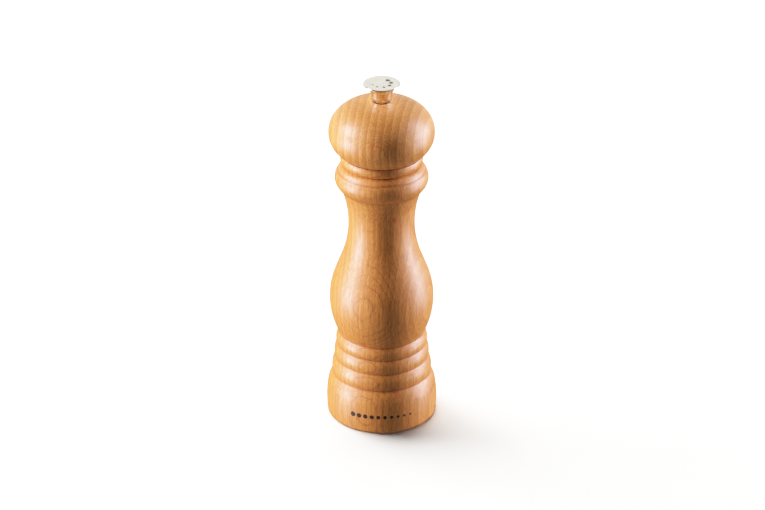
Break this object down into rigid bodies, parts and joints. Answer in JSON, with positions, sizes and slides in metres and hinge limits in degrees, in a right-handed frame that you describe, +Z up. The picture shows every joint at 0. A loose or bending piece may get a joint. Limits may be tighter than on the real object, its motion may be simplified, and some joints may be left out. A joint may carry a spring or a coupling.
{
  "type": "pepper mill",
  "caption": "Turned wooden pepper mill with a ball head that lifts off, a flared metal adjusting knob and a ceramic burr mechanism.",
  "frame": {"origin": "centre of the base, on the surface the mill stands on", "axes": "+Z up along the mill's axis, from the base to the knob; -Y towards the marked front"},
  "size_m": [0.0646, 0.0646, 0.21],
  "materials": {
    "beech": "satin clear lacquer on honey-coloured beech",
    "knob_steel": "polished stainless steel with a satin top",
    "screw_steel": "plain zinc-plated steel",
    "spring_steel": "bright drawn wire",
    "aluminium": "drawn, unpolished",
    "ceramic": "matt, unglazed",
    "black_nylon": "moulded, matt",
    "white_nylon": "moulded, matt"
  },
  "bodies": {
    "mill_body": {"turned_body": "beech", "burr_housing": "black_nylon", "bearing_spider": "black_nylon", "burr_ring": "ceramic", "burr_retaining_ring": "black_nylon", "housing_screw_1": "screw_steel", "housing_screw_2": "screw_steel", "housing_screw_3": "screw_steel"},
    "bush": {"shaft_bush": "white_nylon", "burr_spring": "spring_steel"},
    "spindle": {"drive_shaft": "aluminium", "shaft_clip": "spring_steel", "burr_cone": "ceramic", "burr_hub": "white_nylon", "burr_washer": "screw_steel", "burr_screw": "screw_steel"},
    "head": {"turned_head": "beech", "drive_plate": "screw_steel", "plate_screw_1": "screw_steel", "plate_screw_2": "screw_steel", "plate_screw_3": "screw_steel"},
    "washer": {"knob_washer": "black_nylon"},
    "knob": {"adjusting_knob": "knob_steel", "knob_friction_ring": "white_nylon"}
  },
  "joints": [
    {"name": "head_turn", "type": "hinge", "parent": "mill_body", "child": "bush", "pos_m": [0, 0, 0], "axis": [0, 0, 1], "continuous": true},
    {"name": "grind_gap", "type": "slide", "parent": "bush", "child": "spindle", "axis": [0, 0, 1], "range_m": [-0.001, 0.0004], "deforming": ["burr_spring"]},
    {"name": "head_lift", "type": "slide", "parent": "bush", "child": "head", "axis": [0, 0, 1], "range_m": [0, 0.06]},
    {"name": "knob_lift", "type": "slide", "parent": "head", "child": "washer", "axis": [0, 0, 1], "range_m": [0, 0.02]},
    {"name": "knob_turn", "type": "hinge", "parent": "washer", "child": "knob", "pos_m": [0, 0, 0.199], "axis": [0, 0, 1], "range_deg": [-190, 460]}
  ],
  "couplings": [
    {"joint": "knob_turn", "follows": "grind_gap", "rad_per_m": -7854}
  ]
}
